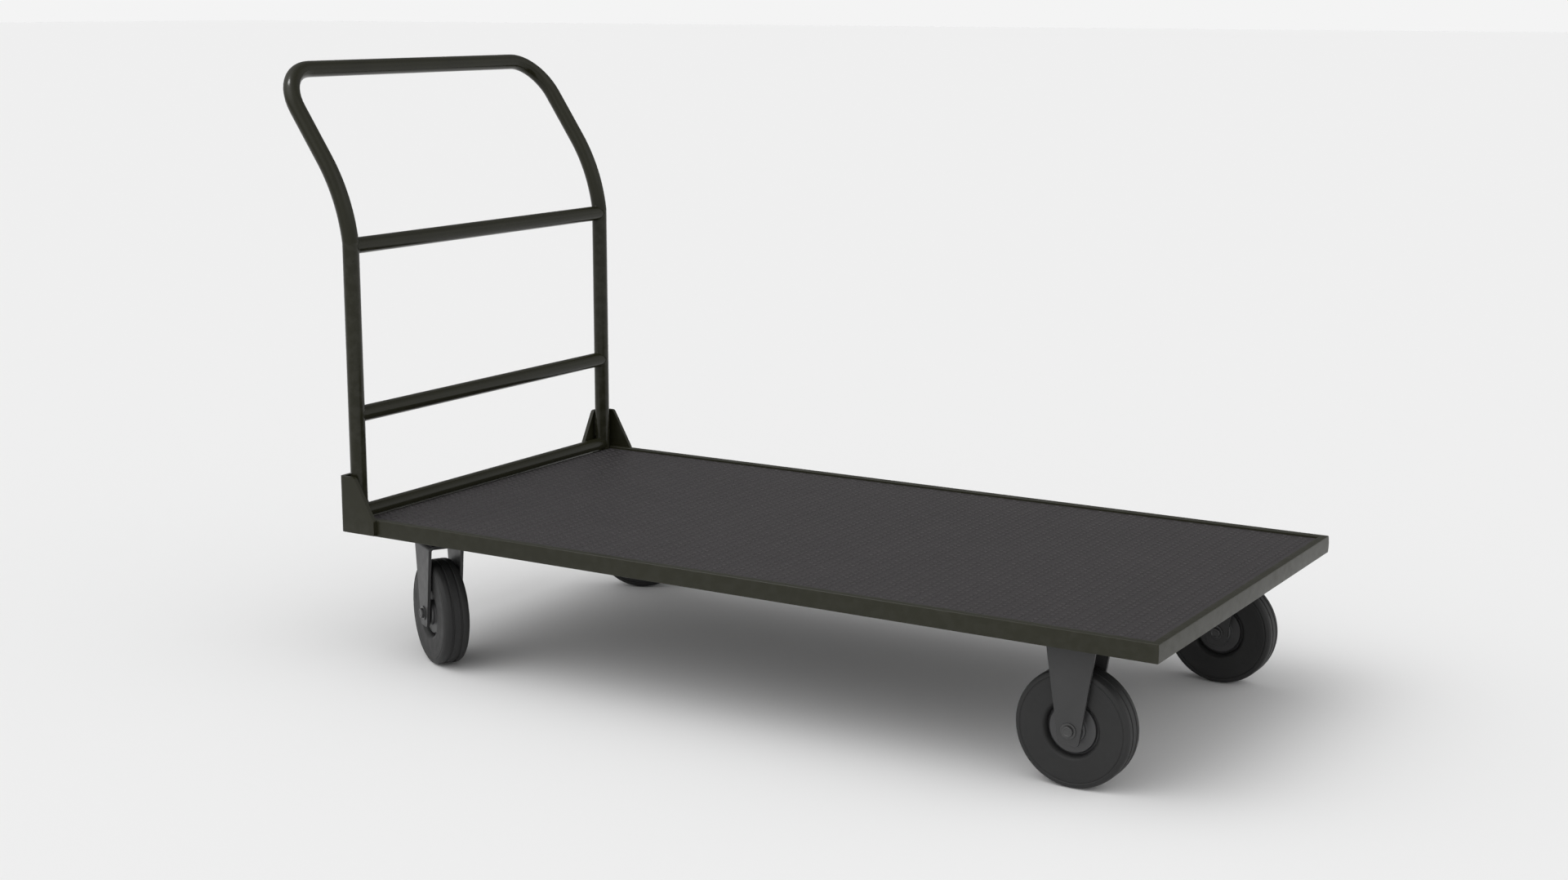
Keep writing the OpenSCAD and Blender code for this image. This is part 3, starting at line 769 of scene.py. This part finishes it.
def wheel(tag):
    body = "wheel_" + tag
    spin = along_axle(wheel_frame(tag))
    tyre = Shape().lathe(mirrored(TYRE_PROFILE), spin, 144)
    build(tyre, "tyre_" + tag + "_shell", body, "tyre_rubber", ["tyre_" + tag], angle=50)
    hub = Shape()
    hub.lathe(mirrored(HUB_HALF[:-1]) + [(16, 13.6), (8, 13.6), (8, -13.6), (16, -13.6)], spin, 96)
    build(hub, "hub_" + tag + "_shell", body, "hub_plastic", ["hub_" + tag], angle=40)
    races = Shape()
    for s in (-1, 1):
        y0, y1 = (-25.6, -13.6) if s < 0 else (13.6, 25.6)
        face = y0 if s < 0 else y1
        inner = face - s * 0.7
        races.lathe(rounded([(6.08, y0), (9, y0), (9, y1), (6.08, y1)], 0.4, 2), spin, 48)
        races.lathe(rounded([(13.6, y0), (16, y0), (16, y1), (13.6, y1)], 0.4, 2), spin, 64)
        a, b = sorted((inner, inner - s * 8))
        races.lathe(rounded([(9, a), (13.6, a), (13.6, b), (9, b)], 0.2, 1), spin, 48)
    build(races, "bearings_" + tag + "_set", body, "fastener_steel", ["bearings_" + tag])


def fixed_caster(word, tag):
    place = wheel_frame(tag)
    build(top_plate(place), "fixed_pad_" + word, "chassis", "caster_grey",
          ["fixed_plate_" + word], bevel=0.6)
    fork = Shape().skin(fork_strip(PLATE_Z), place=place)
    build(fork, "fixed_legs_" + word, "chassis", "caster_grey", ["fixed_fork_" + word], bevel=0.7,
          angle=38)
    axle_set(tag, "chassis")
    wheel(tag)


PIN_R, PIN_LOW, PIN_HIGH, PIN_NUT_R, PIN_NUT_H, PIN_NUT_TOP = 8, 220, 260, 13.5, 8.7, 230.7
PIN_BORE, BORE_STEP, HEAD_R = 9.0, 10.0, 39


def bored_plate(shape, outline, bore, depth, place):
    """A plate with a round hole at its origin. The outline goes once around that hole.

    The web of fork_strip has no such hole, so the kingpin still passes through the web.
    """
    edge = []
    for i, p in enumerate(outline):
        a, b = Vector(p), Vector(outline[(i + 1) % len(outline)])
        parts = max(1, math.ceil(math.degrees(a.angle(b)) / BORE_STEP))
        edge += [a.lerp(b, k / parts) for k in range(parts)]
    hole = [p.normalized() * bore for p in edge]
    rings = [[(p.x, p.y, z) for p in ring]
             for ring, z in ((hole, 0), (edge, 0), (edge, depth), (hole, depth))]
    shape.skin(rings, closed=True, place=place)


def swivel_caster(word, tag):
    body = "swivel_" + word
    joint = JOINTS["swivel_" + word + "_turn"]
    pivot = Vector(joint["pos_m"]) / MM
    head = at(pivot.x, pivot.y, 0)
    wheel_place = wheel_frame(tag)
    turn = wheel_place.to_3x3().to_4x4()
    place = head @ turn
    trail = (wheel_place.translation - Vector((pivot.x, pivot.y, 0))).length
    pad = top_plate(head)
    skirt = rounded([(38, 242), (41, 242), (41, 255), (22, 255), (22, 248.6), (38, 248.6)],
                    [0.8, 1.0, 0, 0, 0.6, 2.0], 3)
    pad.lathe(skirt, head, 96)
    build(pad, "swivel_pad_" + word, "chassis", "caster_grey", ["swivel_plate_" + word], bevel=0.5)
    pin = Shape()
    shank = rounded([(0, PIN_LOW), (PIN_R, PIN_LOW), (PIN_R, PIN_HIGH), (0, PIN_HIGH)],
                    [0, 1.2, 0.4, 0], 3, closed=False)
    pin.lathe(shank, head, 48, closed=False)
    hex_prism(PIN_NUT_R, PIN_NUT_H, head @ at(0, 0, PIN_NUT_TOP) @ turned(math.pi, "X"), pin)
    build(pin, "kingpin_bolt_" + word, "chassis", "fastener_steel", ["kingpin_" + word])
    top = CROWN_Z + CROWN_T
    half = leg_half(top)
    fork = Shape().skin(fork_strip(top, trail), place=place)
    side_x = -math.sqrt(HEAD_R**2 - LEG_OUT**2)
    start = math.atan2(LEG_OUT, side_x)
    arc = [(HEAD_R * math.cos(a), HEAD_R * math.sin(a)) for a in
           [start + (math.tau - 2 * start) * k / 24 for k in range(25)]]
    outline = arc + [(trail - half, -LEG_OUT), (trail - half, -LEG_IN), (trail + half, -LEG_IN),
                     (trail + half, LEG_IN), (trail - half, LEG_IN), (trail - half, LEG_OUT)]
    bored_plate(fork, outline, PIN_BORE, CROWN_T, place @ at(0, 0, CROWN_Z))
    race = rounded([(23.5, top), (36.5, top), (36.5, top + 4), (33, top + 4), (31.5, top + 3.2),
                    (28.5, top + 3.2), (27, top + 4), (23.5, top + 4)],
                   [0, 0, 1.0, 0.4, 0.6, 0.6, 0.4, 0.8], 2)
    fork.lathe(race, place, 72)
    build(fork, "swivel_legs_" + word, body, "caster_grey", ["swivel_fork_" + word], bevel=0.6,
          angle=38)
    axle_set(tag, body)
    wheel(tag)


fixed_caster("near", "fn")
fixed_caster("far", "ff")
swivel_caster("near", "sn")
swivel_caster("far", "sf")

# ---------- plate bolts ----------
HEX_R, HEAD_H, NUT_H, BOLT_R, BOLT_END_Z, NUT_Z = 9.8, 6.4, 8, 5, 273.6, PLATE_Z + PLATE_T + 4
bolt_set, nut_set = Shape(), Shape()
heads = [wheel_frame(tag).translation for tag in ("fn", "ff")]
heads += [Vector(JOINTS["swivel_" + word + "_turn"]["pos_m"]) / MM for word in ("near", "far")]
for centre in heads:
    for u in (-BOLT_U, BOLT_U):
        for v in (-BOLT_V, BOLT_V):
            spot = at(centre.x + u, centre.y + v, 0)
            hex_prism(HEX_R, HEAD_H, spot @ at(0, 0, PLATE_Z) @ turned(math.pi, "X"), bolt_set)
            shank = rounded([(0, PLATE_Z - 0.4), (BOLT_R, PLATE_Z - 0.4), (BOLT_R, BOLT_END_Z),
                             (0, BOLT_END_Z)], [0, 0, 0.8, 0], 2, closed=False)
            bolt_set.lathe(shank, spot, 24, closed=False)
            hex_prism(HEX_R, NUT_H, spot @ at(0, 0, NUT_Z), nut_set)
build(bolt_set, "caster_bolt_set", "chassis", "fastener_steel", ["caster_bolts"])
build(nut_set, "caster_nut_set", "chassis", "fastener_steel", ["caster_nuts"])

# The ball rings keep their CAD mesh and take this file's steel
for word in ("near", "far"):
    balls = frame["nodes"]["swivel_balls_" + word]
    balls.data.materials.clear()
    balls.data.materials.append(FINISHES["fastener_steel"])
